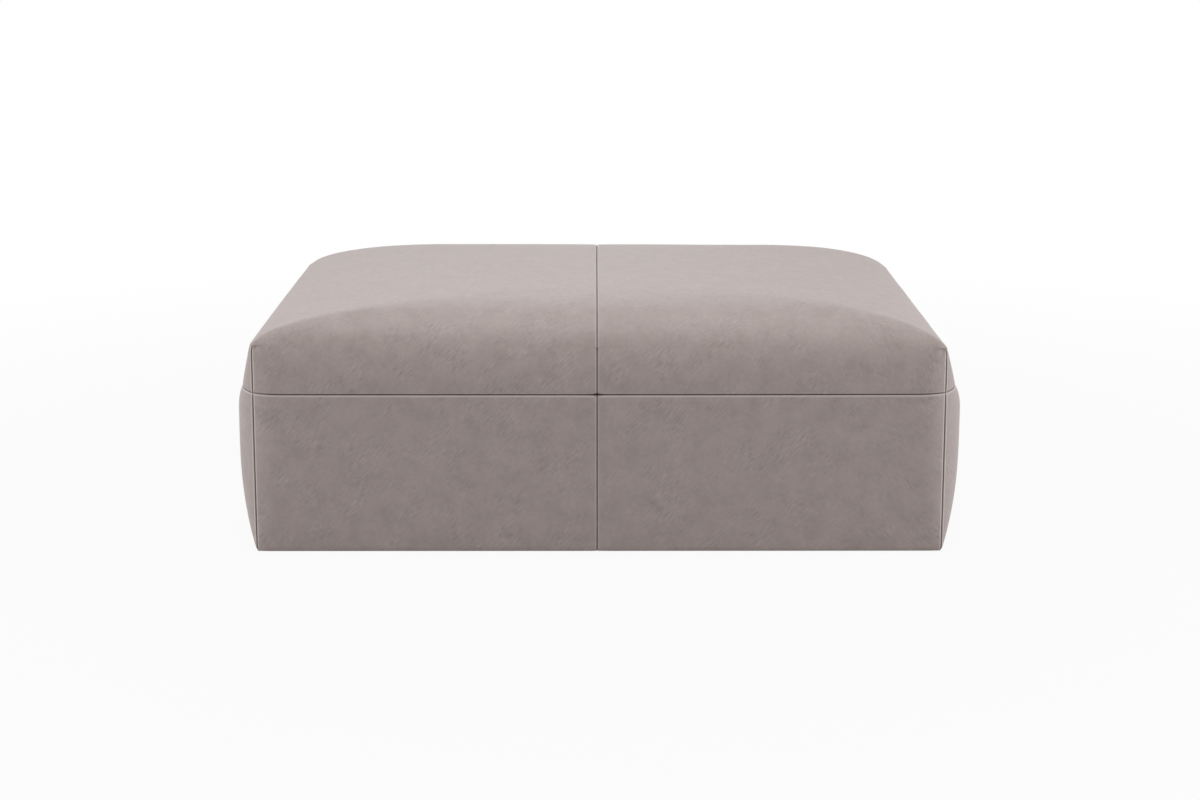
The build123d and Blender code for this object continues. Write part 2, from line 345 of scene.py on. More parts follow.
def wallOut(wall, along, bulge):
    # drawn in to the corner seams, nearly straight between them
    fromCorner = max(min(along, wall["length"] - along), 0)
    run = hypot(form["leastCornerRun"], wall["cornerRun"] * bulge)
    turned = 1 - (1 - min(fromCorner / run, 1)) ** 2
    middle = 1 - (1 - fromCorner / (wall["length"] / 2)) ** 2
    return bulge * turned + wall["bow"] * middle * max(bulge, 0) / wall["fullBulge"]


def wallPoint(wall, along, height, bulge):
    point = wall["start"] + wall["along"] * along + wall["out"] * wallOut(wall, along, bulge)
    return point + Vector((0, 0, height))


def profile(wall, share, tip):
    # rise of the crown, that share of the way out to the edge of the seat
    reached = share * (wall["half"] + wall["shoulderBow"]) / wall["reach"]
    return crownRise * max(1 - reached ** planPower(wall, tip), 0) ** (1 / wall["crownPower"])


def meanRise(side, end, fromTip):
    # side slope and end slope run into each other
    nearTip = exp(-fromTip / form["ridgeReach"])
    crisp = form["ridgeAway"] + (form["ridgeAtTip"] - form["ridgeAway"]) * nearTip
    sideFall, endFall = 1 - side / crownRise, 1 - end / crownRise
    most = max(sideFall, endFall, 1e-9)  # never zero, on the very top either
    return crownRise * (1 - most * ((sideFall / most) ** crisp + (endFall / most) ** crisp) ** (1 / crisp))


def sheetPoint(x, y):
    sideWall = walls["left" if x < 0 else "right"]
    endWall = walls["front"]
    side = profile(sideWall, abs(x) / halfWidth, sideWall["tipRise"])
    end = profile(endWall, abs(y) / halfDepth, tipRiseAt(x))
    fromTip = hypot(halfWidth - abs(x), halfDepth - abs(y))
    rise = meanRise(side, end, fromTip)
    outX = wallOut(sideWall, y + halfDepth, sideWall["shoulderBow"])
    outY = wallOut(endWall, x + halfWidth, endWall["shoulderBow"])
    return Vector((x * (1 + outX / halfWidth), y * (1 + outY / halfDepth), seamLevel + rise))


def hidePlace(x, y):
    # place on the flat hide: the slopes take up more leather than they cover
    side = profile(walls["left" if x < 0 else "right"], abs(x) / halfWidth, tipRiseAt(x))
    end = profile(walls["front"], abs(y) / halfDepth, tipRiseAt(x))
    slopeX, slopeY = (form["slopeShare"] * (crownRise - rise) for rise in (side, end))
    return x + copysign(slopeX, x), y + copysign(slopeY, y)


# Leather panels: grids with fine rows along their seams, where the leather rolls in

roll = {
    "rows": [0, 0.3, 0.7, 1.2, 1.9, 2.9, 4.5, 7.5, 12],   # mm from a seam
    "footRows": [0, 0.7, 1.6, 3, 5.5, 9, 14],             # mm up from the lower edge
    "hemRows": [30, 18, 10, 5, 2.5],                      # mm inward from it, the hem's width first
    "pitch": 6 * mm,
    "depth": 2.6 * mm,           # how far the leather turns in at a seam
    "width": 3.4 * mm,           # over which it turns
    "cornerReach": 60 * mm,      # past this the roll at a corner seam is nothing
    "pull": 0.7 * mm,            # the stitches hold a seam this far down, fading over the next value
    "pullReach": 7 * mm,
    "pinch": 2 * mm,             # deeper still where the middle seam crosses the level one
    "pinchReach": 6 * mm,
    "puckerHeight": 0.12 * mm,
    "puckerLength": 17 * mm,
    "puckerReach": 12 * mm,
    "longPucker": 2.7,           # a second, longer wave, so many times as long, with this share
    "longPuckerShare": 0.6,
    "unevenHeight": 0.45 * mm,
    "unevenLength": 130 * mm,
    "fineUneven": 2.3,           # a second, finer wave, so many times as fine, with this share
    "fineUnevenShare": 0.45,
    "unevenReach": 40 * mm,      # the unevenness fades out over this towards a seam
    "shadeLevel": 1.0 * mm,      # half width of the painted shade in the groove
    "shadeMiddle": 0.85 * mm,
    "shadeCorner": 1.6 * mm,     # painted shade wider, since the camera sees only the front half of the groove
    "pinchShade": 2.2,           # the painted shade in the groove is wider by so many times at the crossing
    "cornerShade": 0.45,         # the level groove keeps this share of its painted shade by the corners
    "cornerShadeReach": 45 * mm,
    "footShade": 1.0,            # the painted shade in the corner groove is wider by so many times at the lower edge
    "footShadeReach": 6 * mm,
    "lipWidth": 2.5 * mm,
    "thickness": 1.4 * mm,
    "tipFade": 9 * mm,           # below a tip, over which the corner seam's roll comes in
    "tipShown": 0.5,             # share of that roll from which the painted shade of its groove shows
}
puckerNoise = {  # each seam's own place in the noise
    "level": 1.7, "start": 5.2, "stop": 8.8, "left": 2.2, "right": 3.3,
    "dropLevel": 6.1, "dropCorner": 7.4, "dropMiddle": 9.9,
}


def spread(low, high, fineLow=True, fineHigh=True):
    # places from low to high, close together near a seam and even between
    fine = [row * mm for row in roll["rows"]]
    start = low + (fine[-1] if fineLow else 0)
    stop = high - (fine[-1] if fineHigh else 0)
    count = max(int((stop - start) / roll["pitch"] + 0.5), 1)
    places = [start + (stop - start) * step / count for step in range(count + 1)]
    if fineLow:
        places = [low + row for row in fine[:-1]] + places
    if fineHigh:
        places += [high - row for row in reversed(fine[:-1])]
    return places


def rollDepth(distance):
    near = max(1 - distance / roll["width"], 0)
    turned = roll["depth"] * (1 - sqrt(max(1 - near**2, 0)))
    return turned + roll["pull"] * exp(-distance / roll["pullReach"])


def pinchDepth(distance):
    return roll["pinch"] * exp(-(distance / roll["pinchReach"]) ** 2)


def seamTone(distance, lip, width, strength=1.0):
    # painted shade in the groove, and past it, as a negative share, the painted highlight on the lip
    if distance < width:
        return strength * (1 - (distance / width) ** 2)
    past = (distance - width) / roll["lipWidth"]
    return -leather[lip] * sin(pi * past) ** 2 if past < 1 else 0.0


def darkest(*tones):
    # the groove of one seam wins over the lip of another
    return max(tones) if max(tones) > 0 else min(tones)


def levelTone(distance, lip, fromMiddle, fromCorner):
    width = roll["shadeLevel"] * (1 + roll["pinchShade"] * exp(-fromMiddle / roll["pinchReach"]))
    thin, away = roll["cornerShade"], smoothStep(fromCorner / roll["cornerShadeReach"])
    return seamTone(distance, lip, width, thin + (1 - thin) * away)


def uprightTone(fromMiddle, fromCorner=far, fromFoot=far):
    cornerWidth = roll["shadeCorner"] * (1 + roll["footShade"] * exp(-fromFoot / roll["footShadeReach"]))
    return darkest(seamTone(fromMiddle, "lipMiddle", roll["shadeMiddle"]),
                   seamTone(fromCorner, "lipCorner", cornerWidth))


def pucker(along, distance, seam):
    # small waves along a seam, a short and a long one from different parts of the noise
    waves, place = along / roll["puckerLength"], puckerNoise[seam]
    height = wave(waves, place, 0.3)
    height += roll["longPuckerShare"] * wave(waves / roll["longPucker"], place, 4.1)
    return roll["puckerHeight"] * height * exp(-distance / roll["puckerReach"])


def unevenness(point):
    place = point / roll["unevenLength"]
    fine = place * roll["fineUneven"]
    height = wave(place.x, place.y, place.z) + roll["fineUnevenShare"] * wave(fine.x + 9, fine.y, fine.z)
    return roll["unevenHeight"] * height


def tipRelief(fromSide, fromEnd):
    # ear at the end of the corner seam, and the folds that run from it over the seat
    away = hypot(fromSide, fromEnd)
    angle = 0.0 if away == 0 else fromEnd / (fromSide + fromEnd) * pi / 2
    fold = cos(2 * form["tipFolds"] * angle) * exp(-away / form["tipFoldReach"])
    fold *= smoothStep(away / form["tipFoldStart"]) * form["tipFold"]
    return -form["tipEar"] * exp(-away / form["tipEarReach"]) - fold


def tipDrawn(x, y):
    away = hypot(halfWidth - abs(x), halfDepth - abs(y))
    drawn = form["tipDraw"] * exp(-away / form["tipDrawReach"])
    return Vector((-copysign(drawn, x), -copysign(drawn, y), 0))


def tipDent(fromCorner, fallen):
    away = hypot(fromCorner - form["tipDentAlong"], fallen - form["tipDentDown"])
    return form["tipDent"] * exp(-(away / form["tipDentReach"]) ** 2)


def edgeDepth(distance, fromTip):
    near = max(1 - distance / form["edgeReach"], 0) ** 2
    return form["edgeRound"] * near * smoothStep(fromTip / form["edgeFromTip"])


def gridFaces(columns, rows):
    faces = []
    for row in range(rows - 1):
        for column in range(columns - 1):
            corner = row * columns + column
            faces.append((corner, corner + 1, corner + columns + 1, corner + columns))
    return faces


def finishPanel(name, points, faces, shades, hides, replaced):
    piece = newPiece(name, points, faces, leatherSkin, "leather", replaced)
    # painted shade for the grooves, and from the negative tones the painted highlight for the lips
    for attribute, sign in (("seamShade", 1), ("seamLipHighlight", -1)):
        shade = piece.data.attributes.new(attribute, "FLOAT", "POINT")
        shade.data.foreach_set("value", [max(sign * value, 0) for value in shades])
    hide = piece.data.attributes.new("hidePlace", "FLOAT_VECTOR", "POINT")
    hide.data.foreach_set("vector", [value for place in hides for value in place])
    thickness = piece.modifiers.new("thickness", "SOLIDIFY")
    thickness.thickness = roll["thickness"]
    thickness.offset = -1


def borderPanel(name, wallName, start, stop, startSeam, stopSeam, cut):
    # one panel of the base, from its hem under the frame up to the level seam
    wall = walls[wallName]
    inward = -wall["out"]
    columns = spread(start, stop)
    rows = [-row * mm for row in roll["hemRows"]] + [row * mm for row in roll["footRows"][:-1]]
    rows += spread(roll["footRows"][-1] * mm, baseRise, fineLow=False)
    points, shades, hides = [], [], []
    for rise in rows:
        for along in columns:
            up = max(rise, 0)
            point = wallPoint(wall, along, footLevel + up, baseBulge(wall, up))
            fromStart, fromStop, fromTop = along - start, stop - along, baseRise - up
            shift = inward * rollDepth(fromTop)
            for distance, seamKind, sign in ((fromStart, startSeam, 1), (fromStop, stopSeam, -1)):
                direction = inward
                if seamKind == "corner":
                    direction = (inward + wall["along"] * sign).normalized()
                else:
                    shift += inward * pinchDepth(hypot(distance, fromTop))
                shift += direction * rollDepth(distance)
            lift = pucker(along, fromTop, "level")
            lift += pucker(up, fromStart, "start") + pucker(up, fromStop, "stop")
            fromEdge = min(fromTop, fromStart, fromStop, up)
            lift += unevenness(point) * smoothStep(fromEdge / roll["unevenReach"])
            edgeRound = form["footRound"] * max(1 - up / form["footRoundReach"], 0) ** 2
            point += shift + inward * (edgeRound - lift)
            point.z -= form["footDrop"] * max(1 - up / form["footDropReach"], 0)
            if rise < 0:
                # the hem runs inward from the lower edge, mitred at the corners
                point += inward * -rise
                if startSeam == "corner":
                    point += wall["along"] * max(-rise - fromStart, 0)
                if stopSeam == "corner":
                    point -= wall["along"] * max(-rise - fromStop, 0)
                point.z = footLevel - form["footDrop"] * max(1 + rise / form["hemRise"], 0)
            points.append(point)
            fromSeam = {"middle": far, "corner": far}
            for distance, seamKind in ((fromStart, startSeam), (fromStop, stopSeam)):
                fromSeam[seamKind] = min(fromSeam[seamKind], distance)
            # painted shade in the seam grooves and painted highlight on their lips
            tone = darkest(levelTone(fromTop, "lipBelow", fromSeam["middle"], fromSeam["corner"]),
                           uprightTone(fromSeam["middle"], fromSeam["corner"], up))
            shades.append(tone if rise >= 0 else 0)
            hides.append((along, rise, cut))
    faces = gridFaces(len(columns), len(rows))
    finishPanel(name, points, faces, shades, hides, [name.replace("leather_", "border_", 1)])


seamAlong = halfWidth + form["middleSeam"]     # along the front wall from its left corner
backAlong = halfWidth - form["middleSeam"]     # along the back wall from its right corner
borderPanel("leather_front_left", "front", 0, seamAlong, "corner", "middle", cut=1)
borderPanel("leather_front_right", "front", seamAlong, 2 * halfWidth, "middle", "corner", cut=2)
borderPanel("leather_back_right", "back", 0, backAlong, "corner", "middle", cut=3)
borderPanel("leather_back_left", "back", backAlong, 2 * halfWidth, "middle", "corner", cut=4)
borderPanel("leather_side_right", "right", 0, 2 * halfDepth, "corner", "corner", cut=5)
borderPanel("leather_side_left", "left", 0, 2 * halfDepth, "corner", "corner", cut=6)
print("border panels made")


def topPanel(name, side, cut):
    # half of the seat: a crowned sheet with drops to the level seam, darted at the corners
    left = side == "left"
    seamX = form["middleSeam"]
    xs = spread(-halfWidth, seamX) if left else spread(seamX, halfWidth)
    ys = spread(-halfDepth, halfDepth)
    points, shades, hides = [], [], []
    for y in ys:
        for x in xs:
            fromMiddle = abs(x - seamX)
            fromSide, fromEnd = halfWidth - abs(x), halfDepth - abs(y)
            point = sheetPoint(x, y)
            down = rollDepth(fromMiddle) - pucker(y, fromMiddle, side)
            down -= unevenness(point) * smoothStep(fromMiddle / roll["unevenReach"])
            down += tipRelief(fromSide, fromEnd)
            rounded = edgeDepth(fromSide, fromEnd)
            point.x += rounded * (1 if left else -1)
            point.z -= down + rounded
            points.append(point + tipDrawn(x, y))
            # painted shade in the middle seam's groove and painted highlight on its lips
            shades.append(uprightTone(fromMiddle))
            hides.append((*hidePlace(x, y), cut))
    faces = gridFaces(len(xs), len(ys))

    dropRows = spread(0, form[side]["tipRise"])
    dropShares = [row / dropRows[-1] for row in dropRows[:-1]]
    lastRow, lastColumn = len(ys) - 1, len(xs) - 1
    for wallName in ("front", "back", side):
        wall = walls[wallName]
        inward = -wall["out"]
        if wall["deep"]:
            edge = [(row, 0 if left else lastColumn) for row in range(len(ys))]
        else:
            edge = [(0 if wallName == "front" else lastRow, column) for column in range(len(xs))]
        stacks = []  # for each edge point the numbers of its drop's points, from the seam up, then its own
        for row, column in edge:
            x, y = xs[column], ys[row]
            along = (Vector((x, y, 0)) - wall["start"]).dot(wall["along"])
            fromCorner = min(along, wall["length"] - along)
            fromMiddle = far if wall["deep"] else abs(x - seamX)
            edgeIndex = row * len(xs) + column
            edgeRise = points[edgeIndex].z - seamLevel
            stacks.append([len(points) + level for level in range(len(dropShares))] + [edgeIndex])
            for share in dropShares:
                up = edgeRise * share
                fallen = edgeRise - up
                point = wallPoint(wall, along, seamLevel + up, crownBulge(wall, share))
                tipFade = smoothStep(fallen / roll["tipFade"])
                shift = inward * rollDepth(up) + tipDrawn(x, y) * (1 - tipFade)
                lift = pucker(along, up, "dropLevel")
                toCorner = far
                for corner, sign in ((0, 1), (wall["length"], -1)):
                    distance = abs(along - corner)
                    if distance < roll["cornerReach"]:
                        direction = (inward + wall["along"] * sign).normalized()
                        shift += direction * rollDepth(distance) * tipFade
                        lift += pucker(up, distance, "dropCorner") * tipFade
                        if tipFade > roll["tipShown"]:
                            toCorner = distance
                if not wall["deep"]:
                    shift += inward * (rollDepth(fromMiddle) + pinchDepth(hypot(fromMiddle, up)))
                    lift += pucker(up, fromMiddle, "dropMiddle")
                fade = smoothStep(min(up, toCorner, fromMiddle) / roll["unevenReach"])
                lift += unevenness(point) * fade * smoothStep(1 - share)
                hideX, hideY = hidePlace(x, y)
                if wall["deep"]:
                    shift += inward * edgeDepth(fallen, halfDepth - abs(y))
                    hideX += copysign(fallen, x)
                else:
                    shift += inward * tipDent(fromCorner, fallen)
                    hideY += copysign(fallen, y)
                points.append(point + shift - inward * lift)
                # painted shade in the seam grooves and painted highlight on their lips
                shades.append(darkest(levelTone(up, "lipAbove", fromMiddle, fromCorner),
                                      uprightTone(fromMiddle, toCorner)))
                hides.append((hideX, hideY, cut))
        for here, there in zip(stacks, stacks[1:]):
            for level in range(len(dropShares)):
                face = (here[level], there[level], there[level + 1], here[level + 1])
                faces.append(face if wallName in ("front", "right") else face[::-1])
    finishPanel(name, points, faces, shades, hides, [f"top_cover_{side}"])


topPanel("leather_top_left", "left", cut=7)
topPanel("leather_top_right", "right", cut=8)
print("top panels made")


# Filling, suspension and underside, each piece inside the space of its solid

inside = {
    "coverClear": 7.5 * mm,    # wadding and pads below the leather's smooth face, clear of the rolled seams
    "frameClear": 0.3 * mm,
    "softClear": 0.6 * mm,
    "wadding": 7 * mm,
    "foamRound": 6 * mm,
    "crownSteps": 32,
    "dropSteps": 6,
    "padSteps": 12,
    "padStride": 5,            # a pad has every fifth column of the leather
    "blockPitch": 40 * mm,
}

# cut foam: open cells of about a millimetre, chalky and dull
foamSkin = makeGrained("cutPolyurethaneFoam", "EFE6C8", "DCCFA6", 1.6 * mm, (1, 1, 1), 0.4 * mm, 0.85)
# bonded wadding: white fibres in flat 3 mm tufts, no gloss
waddingSkin = makeGrained("bondedPolyesterWadding", "F4F4F0", "DFDFDA", 3 * mm, (1, 1, 0.4), 0.8 * mm, 0.9)
# needled felt: mixed grey tufts from the needles, longer one way, the dullest of all
feltSkin = makeGrained("needledFelt", "8B8781", "5F5B57", 1.8 * mm, (1, 0.5, 1), 0.5 * mm, 0.95)
# woven webbing: black threads 1.2 mm apart over rubber, a slight shine on each
webbingSkin = makeGrained("wovenElasticWebbing", "3A3736", "1E1C1C", 1.2 * mm, (1, 1, 1), 0.3 * mm, 0.75)
# spun-bonded cloth: flat black fibres, drawn coarser than the real 0.05 mm, almost smooth
clothSkin = makeGrained("spunBondedDustCloth", "2C2C2E", "18181A", 0.9 * mm, (1, 1, 1), 0.1 * mm, 0.8)
# sawn pine: yellow and brown grain 9 mm wide, long from left to right, rough from the saw
pineSkin = makeGrained("sawnPine", "DDBE8B", "B98C56", 9 * mm, (0.12, 1, 1), 0.15 * mm, 0.6)
# pressed hardboard: brown wood fibres of 2.5 mm in a hard smooth face
hardboardSkin = makeGrained("pressedHardboard", "8A6544", "6A4A30", 2.5 * mm, (1, 1, 1), 0.05 * mm, 0.5)
# moulded polyethylene: black and waxy, with the mould's fine texture
glideSkin = makeGrained("mouldedPolyethylene", "242424", "1A1A1A", 0.8 * mm, (1, 1, 1), 0.03 * mm,
                        0.45, ior=1.51)
# galvanised wire: pale grey zinc, softly bright, its crystals half a millimetre wide
stapleSkin = makeGrained("galvanisedSteelWire", "C9C9C6", "A9A9A7", 0.5 * mm, (1, 1, 1), 0.02 * mm,
                         0.35, metallic=1.0)


def closedStack(rings):
    count = len(rings[0])
    points = [point for ring in rings for point in ring]
    faces = []
    for level in range(len(rings) - 1):
        for place in range(count):
            low, lowNext = level * count + place, level * count + (place + 1) % count
            faces.append((low, lowNext, lowNext + count, low + count))
    faces.append(tuple(reversed(range(count))))
    faces.append(tuple(range((len(rings) - 1) * count, len(rings) * count)))
    return points, faces


def roundedBlock(low, high, radius, pitch):
    # a box with rounded edges, gridded
    radius = min(radius, *[(b - a) / 2 * 0.999 for a, b in zip(low, high)])  # not quite half its thickness
    axes = []
    for a, b in zip(low, high):
        inner = max(int((b - a - 2 * radius) / pitch), 1)
        middle = [a + radius + (b - a - 2 * radius) * step / inner for step in range(inner + 1)]
        axes.append([a, a + radius * 0.3] + middle + [b - radius * 0.3, b])  # each edge turns in two steps
    points, faces, index = [], [], {}

    def corner(i, j, k):
        if (i, j, k) not in index:
            place = Vector((axes[0][i], axes[1][j], axes[2][k]))
            core = Vector([min(max(v, a + radius), b - radius) for v, a, b in zip(place, low, high)])
            away = place - core
            index[i, j, k] = len(points)
            points.append(core + away.normalized() * radius if away.length > 0 else place)
        return index[i, j, k]

    for axis in range(3):
        first, second = [other for other in range(3) if other != axis]
        for end in (0, len(axes[axis]) - 1):
            for a in range(len(axes[first]) - 1):
                for b in range(len(axes[second]) - 1):
                    loop = []
                    for da, db in ((0, 0), (1, 0), (1, 1), (0, 1)):
                        key = [0, 0, 0]
                        key[axis], key[first], key[second] = end, a + da, b + db
                        loop.append(corner(*key))
                    flip = (end == 0) != (axis == 1)
                    faces.append(tuple(reversed(loop)) if flip else tuple(loop))
    return points, faces


def joined(bodies):
    points, faces = [], []
    for bodyPoints, bodyFaces in bodies:
        start = len(points)
        points += bodyPoints
        faces += [tuple(corner + start for corner in face) for face in bodyFaces]
    return points, faces


def crownCap(inset):
    # the cover's own smooth form, shrunk so that it lies that far inside, open at the level seam
    steps, drops = inside["crownSteps"], inside["dropSteps"]
    shares = [sin(pi / 2 * (2 * step / steps - 1)) for step in range(steps + 1)]  # closer by the edges
    points = [sheetPoint(a * halfWidth, b * halfDepth) for b in shares for a in shares]
    faces = gridFaces(steps + 1, steps + 1)
    places = [(0, column, "front") for column in range(steps)]
    places += [(row, steps, "right") for row in range(steps)]
    places += [(steps, column, "back") for column in range(steps, 0, -1)]
    places += [(row, 0, "left") for row in range(steps, 0, -1)]
    above = [row * (steps + 1) + column for row, column, wallName in places]
    for level in range(1, drops + 1):
        share = 1 - level / drops
        below = list(range(len(points), len(points) + len(places)))
        for row, column, wallName in places:
            wall = walls[wallName]
            x, y = shares[column] * halfWidth, shares[row] * halfDepth
            along = (Vector((x, y, 0)) - wall["start"]).dot(wall["along"])
            edgeRise = points[row * (steps + 1) + column].z - seamLevel
            points.append(wallPoint(wall, along, seamLevel + edgeRise * share, crownBulge(wall, share)))
        for place in range(len(places)):
            after = (place + 1) % len(places)
            faces.append((below[place], below[after], above[after], above[place]))
        above = below
    reach = (halfWidth + walls["left"]["seamBulge"], halfDepth + walls["front"]["seamBulge"], crownRise)
    middle = Vector((0, 0, seamLevel))
    shrunk = []
    for point in points:
        away = point - middle
        shrunk.append(middle + Vector([part * (most - inset) / most for part, most in zip(away, reach)]))
    return shrunk, faces, above


def crownShell(inset, thickness):
    outer, outerFaces, rim = crownCap(inset)
    inner, innerFaces, rim = crownCap(inset + thickness)
    start = len(outer)
    faces = outerFaces + [tuple(corner + start for corner in reversed(face)) for face in innerFaces]
    for here, there in zip(rim, rim[1:] + rim[:1]):
        faces.append((here, here + start, there + start, there))
    return outer + inner, faces


def makeFilling():
    clear = inside["softClear"]
    wadding = newPiece("waddingLayer", *crownShell(inside["coverClear"], inside["wadding"]),
                       waddingSkin, "wadding", ["top_wadding"])
    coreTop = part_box("seat_foam_core")[1].z
    foamInset = inside["coverClear"] + inside["wadding"] + clear
    foamThick = crownRise - foamInset - (coreTop - seamLevel) - clear
    crown = newPiece("crownFoam", *crownShell(foamInset, foamThick), foamSkin, "foam", ["seat_foam_top"])
    for name, node, skin, slotName in (("coreFoam", "seat_foam_core", foamSkin, "foam"),
                                       ("slabFoam", "seat_foam_slab", foamSkin, "foam"),
                                       ("insulatorFelt", "insulator_felt", feltSkin, "felt")):
        low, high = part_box(node)
        body = roundedBlock(low, high, inside["foamRound"], inside["blockPitch"])
        newPiece(name, *body, skin, slotName, [node])


def makePads():
    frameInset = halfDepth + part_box("hardboard_front")[0].y
    for wallName, wall in walls.items():
        low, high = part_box("border_pad_" + wallName)
        columns = spread(frameInset, wall["length"] - frameInset, False, False)[::inside["padStride"]]
        columns[-1] = wall["length"] - frameInset  # the stride may miss the pad's end
        steps = inside["padSteps"]
        heights = [low.z + (high.z - low.z) * step / steps for step in range(steps + 1)]
        rings = []
        for along in columns:
            outer = []
            for height in heights:
                point = wallPoint(wall, along, height, baseBulge(wall, height - footLevel))
                outer.append(point - wall["out"] * inside["coverClear"])
            back = wall["start"] + wall["along"] * along - wall["out"] * (frameInset - inside["frameClear"])
            inner = [Vector((back.x, back.y, height)) for height in (heights[-1], heights[0])]
            rings.append(outer + inner)
        newPiece("padFoam_" + wallName, *closedStack(rings), foamSkin, "foam",
                           ["border_pad_" + wallName])


web = {"steps": 160, "crossingRun": 20 * mm}  # a strip climbs over its neighbour within the run


def makeWebbing():
    longNodes = sorted(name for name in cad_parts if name.startswith("webbing_long"))
    crossNodes = sorted(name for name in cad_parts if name.startswith("webbing_cross"))
    for nodes, others, axis, firstOver in ((longNodes, crossNodes, 0, 0), (crossNodes, longNodes, 1, 1)):
        side = 1 - axis
        crossings = [sum(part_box(other)[end][axis] for end in (0, 1)) / 2 for other in others]
        half = (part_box(others[0])[1][axis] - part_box(others[0])[0][axis]) / 2
        for number, node in enumerate(nodes):
            low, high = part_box(node)
            thick = (high.z - low.z) / 2
            rings = []
            for step in range(web["steps"] + 1):
                place = low[axis] + (high[axis] - low[axis]) * step / web["steps"]
                lift = 0
                for count, crossing in enumerate(crossings):
                    if (count + number + firstOver) % 2:  # over every second strip
                        past = abs(place - crossing) - half
                        lift = max(lift, smoothStep(1 - past / web["crossingRun"]))
                ring = []
                for across, up in ((low[side], 0), (high[side], 0), (high[side], 1), (low[side], 1)):
                    point = Vector((0, 0, low.z + thick * (lift + up)))
                    point[axis], point[side] = place, across
                    ring.append(point)
                rings.append(ring if axis == 0 else ring[::-1])
            newPiece(node.replace("webbing", "webbingStrip"), *closedStack(rings), webbingSkin, "webbing",
                     [node])


underside = {
    "clothSize": (1.090, 0.752),   # metres, as cut
    "clothRound": 0.2 * mm,
    "clothPitch": 12 * mm,
    "stapleLength": 10 * mm,
    "stapleWire": 0.7 * mm,
    "staplePitch": 55 * mm,
    "stapleInset": 9 * mm,
    "glideSteps": 48,
    "glideRound": 1.2 * mm,
    "nailRadius": 3 * mm,          # the nail's head sits in a dished middle
    "nailDish": 1.0 * mm,
}


def latheBody(outline, place, steps):
    # outline holds radius and height, from the middle of the underside round to the middle of the top
    turns = [2 * pi * step / steps for step in range(steps)]
    return closedStack([[place + Vector((radius * cos(turn), radius * sin(turn), height)) for turn in turns]
                        for radius, height in outline])


def staplePlaces(low, high):
    inset, pitch = underside["stapleInset"], underside["staplePitch"]
    for axis, alongX in ((0, True), (1, False)):
        span = high[axis] - low[axis] - 4 * inset
        count = int(span / pitch)
        for step in range(count + 1):
            place = low[axis] + 2 * inset + span * step / count
            for edge in (low[1 - axis] + inset, high[1 - axis] - inset):
                yield (place, edge, alongX) if alongX else (edge, place, alongX)


def makeUnderside():
    low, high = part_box("dust_cover")
    body = roundedBlock(low, high, underside["clothRound"], underside["clothPitch"])
    cloth = newPiece("dustCloth", *body, clothSkin, "dust_cloth", ["dust_cover"])
    wire, length = underside["stapleWire"], underside["stapleLength"]
    staples = []
    for x, y, alongX in staplePlaces(low, high):
        halfX, halfY = (length / 2, wire / 2) if alongX else (wire / 2, length / 2)
        staples.append(roundedBlock(Vector((x - halfX, y - halfY, low.z - wire)),
                                    Vector((x + halfX, y + halfY, low.z)), wire / 3, length))
    newPiece("staples", *joined(staples), stapleSkin)
    for node in sorted(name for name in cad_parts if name.startswith("glide_")):
        low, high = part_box(node)
        place = Vector(((low.x + high.x) / 2, (low.y + high.y) / 2, 0))
        radius, top = (high.x - low.x) / 2, high.z
        nail, dish, edge = underside["nailRadius"], underside["nailDish"], underside["glideRound"]
        bevel = 0.3 * edge
        outline = [(0.2 * nail, dish), (0.75 * nail, dish), (nail, 0.2 * dish), (nail + dish, 0),
                   (radius - edge, 0), (radius - bevel, bevel), (radius, edge),
                   (radius, top - bevel), (radius - bevel, top), (0.2 * nail, top)]
        newPiece(node.replace("glide", "glideDisc"), *latheBody(outline, place, underside["glideSteps"]),
                 glideSkin, "glide_plastic", [node])


def dressFrame():
    for name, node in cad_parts.items():
        if any(word in name for word in ("rail", "post", "stretcher", "corner_block")):
            node.data.materials.clear()
            node.data.materials.append(pineSkin)
        elif name.startswith("hardboard"):
            node.data.materials.clear()
            node.data.materials.append(hardboardSkin)


makeFilling()
makePads()
makeWebbing()
makeUnderside()
dressFrame()
print("filling, webbing and underside made")


# Stage, light and camera

stage = {
    "floor": "D3D2D1",
    "floorSize": 40.0,         # metres
    "glowNear": 0.93,          # share of plain white that the camera sees by the footstool and far from it
    "glowFar": 1.0,
    "glowFrom": 0.9,           # metres from the middle, between which it changes
    "glowTo": 2.6,
    "fibreSize": 2.5 * mm,
    "fibreHeight": 0.5 * mm,
    "fibreStrength": 0.05,
    "worldStrength": 0.325,
}
plainWhite = (1, 1, 1, 1)


def backgroundRays(tree):
    path = addNode(tree, "LightPath")
    mirrored = addNode(tree, "Math", {"operation": "MAXIMUM"},
                       {0: path.outputs["Is Glossy Ray"], 1: path.outputs["Is Transmission Ray"]})
    return addNode(tree, "Math", {"operation": "MAXIMUM"},
                   {0: path.outputs["Is Camera Ray"], 1: mirrored.outputs[0]})


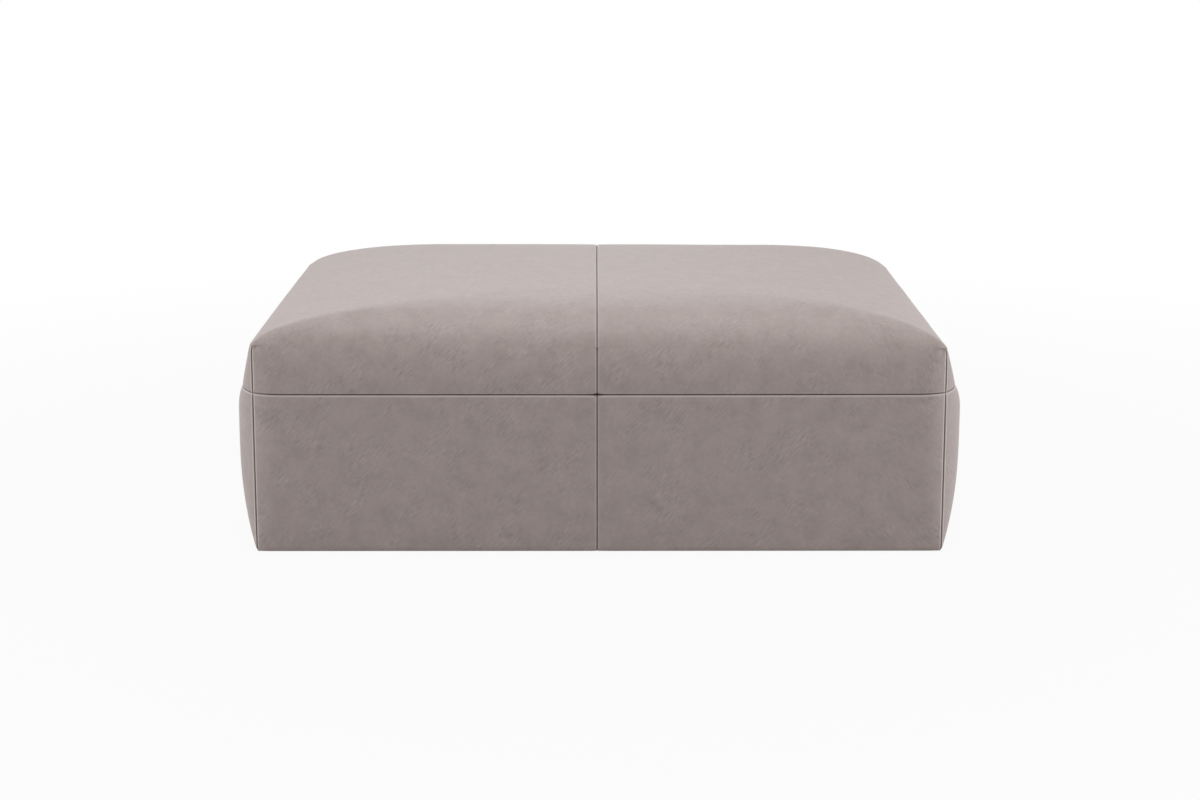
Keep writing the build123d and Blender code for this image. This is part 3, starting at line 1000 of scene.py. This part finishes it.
def makeFloor():
    # matt white paper, shown as plain white with the object's own faint shadow
    material, tree, output = newMaterial("mattWhitePaper")
    place = addNode(tree, "TexCoord").outputs["Object"]
    fibres = addNode(tree, "TexNoise", {"Scale": 1 / stage["fibreSize"]}, {"Vector": place})
    bump = addNode(tree, "Bump",
                   {"Strength": stage["fibreStrength"], "Distance": stage["fibreHeight"]},
                   {"Height": fibres.outputs["Fac"]})
    paper = addNode(tree, "BsdfDiffuse", {"Color": linearColour(stage["floor"])},
                    {"Normal": bump.outputs["Normal"]})
    glow = addNode(tree, "Emission", {"Strength": 1.0})
    away = addNode(tree, "VectorMath", {"operation": "LENGTH"}, {0: place})
    share = addNode(tree, "MapRange", {"From Min": stage["glowFrom"], "From Max": stage["glowTo"],
                    "To Min": stage["glowNear"], "To Max": stage["glowFar"]},
                    {"Value": away.outputs["Value"]})
    seen = addNode(tree, "Math", {"operation": "MULTIPLY"},
                   {0: backgroundRays(tree).outputs[0], 1: share.outputs["Result"]})
    mixed = addNode(tree, "MixShader", links={0: seen.outputs[0], 1: paper.outputs[0],
                    2: glow.outputs[0]})
    tree.links.new(mixed.outputs[0], output.inputs["Surface"])
    mesh = bpy.data.meshes.new("floor")
    half = stage["floorSize"] / 2
    mesh.from_pydata([(-half, -half, 0), (half, -half, 0), (half, half, 0), (-half, half, 0)], [],
                     [(0, 1, 2, 3)])
    mesh.materials.append(material)
    floor = bpy.data.objects.new("floor", mesh)
    bpy.context.scene.collection.objects.link(floor)


def makeWorld():
    world = bpy.data.worlds.new("studio")
    world.use_nodes = True
    tree = world.node_tree
    tree.nodes.clear()
    output = addNode(tree, "OutputWorld")
    fill = addNode(tree, "Background", {"Color": plainWhite, "Strength": stage["worldStrength"]})
    seen = addNode(tree, "Background", {"Color": plainWhite, "Strength": 1.0})
    mixed = addNode(tree, "MixShader", links={0: backgroundRays(tree).outputs[0],
                    1: fill.outputs[0], 2: seen.outputs[0]})
    tree.links.new(mixed.outputs[0], output.inputs["Surface"])
    bpy.context.scene.world = world


softboxes = {  # places and sizes in metres, power in watts
    "topLight": {"place": (0, -0.4, 2.6), "target": (0, -0.1, 0.3), "size": (3.0, 2.4), "power": 30.5},
    "backLight": {"place": (-0.9, 3.6, 2.3), "target": (0, 0, 0.35), "size": (3.0, 1.2), "power": 8.0},
    "leftLight": {"place": (-3.1, -0.8, 1.0), "target": (0, 0, 0.2), "size": (1.6, 1.6), "power": 25.0},
    "rightLight": {"place": (3.1, -0.8, 1.0), "target": (0, 0, 0.2), "size": (1.6, 1.6), "power": 28.75},
}


def placeFacing(name, data, place, target):
    thing = bpy.data.objects.new(name, data)
    thing.location = place
    thing.rotation_euler = (Vector(target) - Vector(place)).to_track_quat("-Z", "Y").to_euler()
    bpy.context.scene.collection.objects.link(thing)
    return thing


def makeSoftboxes():
    for name, box in softboxes.items():
        light = bpy.data.lights.new(name, "AREA")
        light.shape = "RECTANGLE"
        light.size, light.size_y = box["size"]
        light.energy = box["power"]
        placeFacing(name, light, box["place"], box["target"])


camera = {
    "place": (-0.0063, -3.910, 1.0547),  # metres
    "target": (0.0019, -0.010, 0.3072),
    "lens": 67.92,  # millimetres, as the sensor
    "sensor": 36.0,
    "shiftY": -0.065,
}


def makeCamera():
    data = bpy.data.cameras.new("camera")
    data.lens, data.sensor_width, data.shift_y = camera["lens"], camera["sensor"], camera["shiftY"]
    bpy.context.scene.camera = placeFacing("camera", data, camera["place"], camera["target"])


makeFloor()
makeWorld()
makeSoftboxes()
makeCamera()
bpy.context.scene.view_settings.view_transform = "Standard"
print("stage made")
